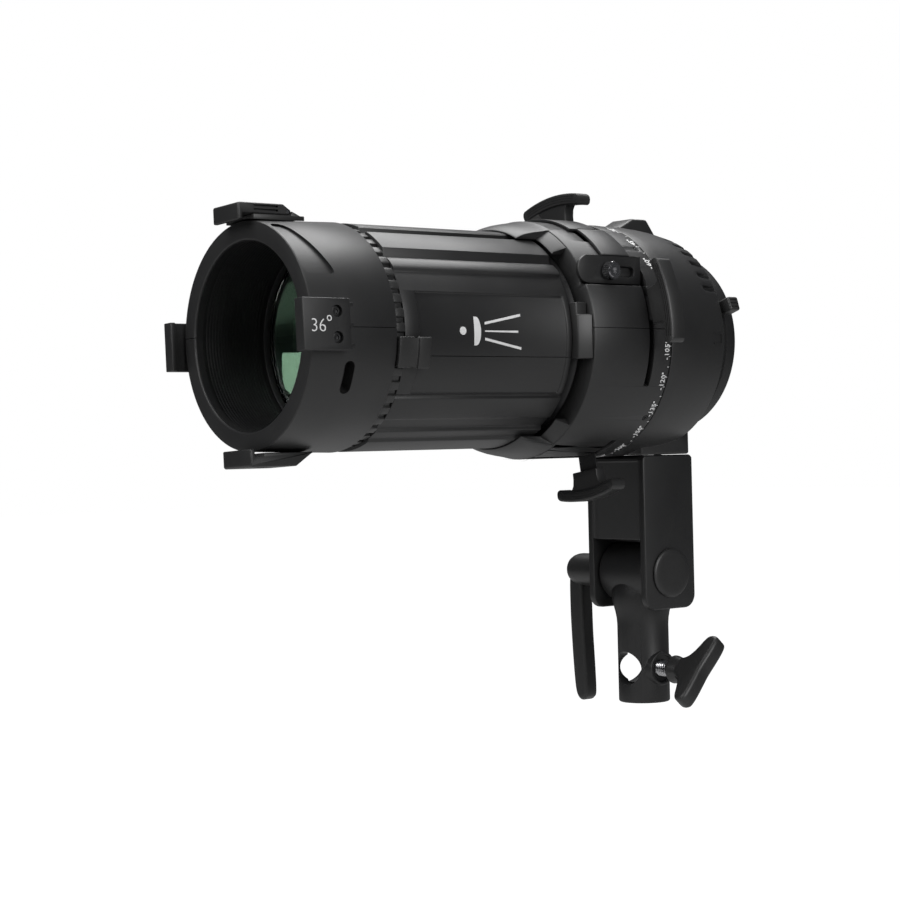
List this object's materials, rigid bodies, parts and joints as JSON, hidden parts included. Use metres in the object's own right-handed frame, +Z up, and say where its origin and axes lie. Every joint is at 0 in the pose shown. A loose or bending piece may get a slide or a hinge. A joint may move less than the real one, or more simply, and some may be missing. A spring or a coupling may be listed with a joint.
{
  "type": "ellipsoidal spotlight",
  "caption": "Profile spotlight with a ribbed lens barrel, clips for a filter frame, framing shutters under T-shaped handles, a turning rear housing and a tilting yoke on a spigot receiver.",
  "frame": {"origin": "centre of the mouth of the receiver that fits the 16 mm spigot", "axes": "+Z up along the receiver, -Y the way the light shines, +X to the side of the round pivot cap; the optical axis lies 186 mm up"},
  "size_m": [0.154, 0.276, 0.2636],
  "materials": {
    "shell_black": "fine matte black powder coat",
    "plastic_black": "moulded matte black",
    "steel": "bright metal",
    "lens_glass": "coated clear glass",
    "black_metal": "matte black anodised inside piece"
  },
  "bodies": {
    "receiver": {"receiver": "shell_black"},
    "tee_feed": {"tee_shank": "steel"},
    "tee_knob": {"tee_knob": "plastic_black"},
    "yoke": {"yoke_bracket": "shell_black", "yoke_screw_left": "steel", "yoke_screw_right": "steel", "pivot_bolt": "steel", "pivot_cap": "plastic_black", "washer_left": "plastic_black", "washer_right": "plastic_black", "rear_housing": "shell_black", "swivel_ring": "black_metal", "condenser_holder": "black_metal", "condenser_front": "lens_glass", "condenser_spacer": "black_metal", "condenser_rear": "lens_glass", "mount_ring": "black_metal"},
    "lever_hub": {"lever_screw": "steel"},
    "lever": {"ratchet_lever": "plastic_black"},
    "lock_button": {"lock_button": "plastic_black"},
    "front": {"housing_upper": "shell_black", "housing_lower": "shell_black", "guide_front": "black_metal", "guide_rear": "black_metal", "gate_plate": "steel", "adapter_ring": "black_metal", "bridge_right": "shell_black", "bridge_left": "shell_black", "body_upper": "shell_black", "body_lower": "shell_black"},
    "cover": {"slot_cover": "shell_black"},
    "thumb_right": {"thumb_screw_right": "steel"},
    "thumb_left": {"thumb_screw_left": "steel"},
    "shutter_top": {"blade_top": "steel", "handle_top": "plastic_black"},
    "shutter_right": {"blade_right": "steel", "handle_right": "plastic_black"},
    "shutter_bottom": {"blade_bottom": "steel", "handle_bottom": "plastic_black"},
    "shutter_left": {"blade_left": "steel", "handle_left": "plastic_black"},
    "lock_ring": {"lock_ring": "plastic_black"},
    "barrel": {"barrel_upper": "shell_black", "barrel_lower": "shell_black", "lens_sleeve": "black_metal", "lens_ring_front": "black_metal", "front_lens": "lens_glass", "lens_spacer": "black_metal", "rear_lens": "lens_glass", "lens_ring_rear": "black_metal", "clip_right": "plastic_black", "clip_left": "plastic_black", "clip_screw_r1": "black_metal", "clip_screw_r2": "black_metal", "clip_screw_l1": "black_metal", "clip_screw_l2": "black_metal", "clip_bottom": "plastic_black", "clip_base": "plastic_black", "clip_pin": "steel"},
    "gel_latch": {"clip_top": "plastic_black"}
  },
  "joints": [
    {"name": "tilt", "type": "hinge", "parent": "receiver", "child": "yoke", "pos_m": [0, 0, 0.067], "axis": [1, 0, 0], "range_deg": [-90, 90]},
    {"name": "tee_feed", "type": "slide", "parent": "receiver", "child": "tee_feed", "axis": [1, 0, 0], "range_m": [0, 0.00375]},
    {"name": "tee_turn", "type": "hinge", "parent": "tee_feed", "child": "tee_knob", "pos_m": [0, 0, 0.0177], "axis": [1, 0, 0], "range_deg": [0, 1080]},
    {"name": "lever_turn", "type": "hinge", "parent": "yoke", "child": "lever_hub", "pos_m": [0, 0, 0.067], "axis": [1, 0, 0], "range_deg": [-90, 90]},
    {"name": "lever_lift", "type": "slide", "parent": "lever_hub", "child": "lever", "axis": [-1, 0, 0], "range_m": [0, 0.003], "stiffness_N_per_m": 800, "springref_m": -0.001},
    {"name": "lock_button_press", "type": "slide", "parent": "yoke", "child": "lock_button", "axis": [-0.9537, 0, -0.3007], "range_m": [0, 0.003], "stiffness_N_per_m": 600, "springref_m": -0.0005},
    {"name": "section_turn", "type": "hinge", "parent": "yoke", "child": "front", "pos_m": [0, 0, 0.186], "axis": [0, 1, 0], "range_deg": [-120, 120]},
    {"name": "cover_slide", "type": "slide", "parent": "front", "child": "cover", "axis": [0, -1, 0], "range_m": [0, 0.015]},
    {"name": "thumb_right_turn", "type": "hinge", "parent": "front", "child": "thumb_right", "pos_m": [0.0539, -0.0666, 0.217], "axis": [1, 0, 0], "range_deg": [0, 360]},
    {"name": "thumb_left_turn", "type": "hinge", "parent": "front", "child": "thumb_left", "pos_m": [-0.0539, -0.0666, 0.217], "axis": [-1, 0, 0], "range_deg": [0, 360]},
    {"name": "shutter_top_slide", "type": "slide", "parent": "front", "child": "shutter_top", "axis": [-0.1305, 0, 0.9914], "range_m": [0, 0.022]},
    {"name": "shutter_right_slide", "type": "slide", "parent": "front", "child": "shutter_right", "axis": [0.9744, 0, 0.225], "range_m": [-0.0024, 0.0196]},
    {"name": "shutter_bottom_slide", "type": "slide", "parent": "front", "child": "shutter_bottom", "axis": [0.1564, 0, -0.9877], "range_m": [-0.0066, 0.0154]},
    {"name": "shutter_left_slide", "type": "slide", "parent": "front", "child": "shutter_left", "axis": [-0.9848, 0, -0.1736], "range_m": [-0.0024, 0.0196]},
    {"name": "lock_ring_turn", "type": "hinge", "parent": "front", "child": "lock_ring", "pos_m": [0, -0.1931, 0.186], "axis": [0, -1, 0], "range_deg": [0, 18]},
    {"name": "focus_slide", "type": "slide", "parent": "front", "child": "barrel", "axis": [0, -1, 0], "range_m": [0, 0.012]},
    {"name": "gel_latch_open", "type": "hinge", "parent": "barrel", "child": "gel_latch", "pos_m": [-0.00234, -0.2221, 0.24175], "axis": [-0.9991, 0, -0.0419], "range_deg": [0, 70]}
  ],
  "couplings": [
    {"joint": "tee_turn", "follows": "tee_feed", "rad_per_m": 5026.5}
  ]
}
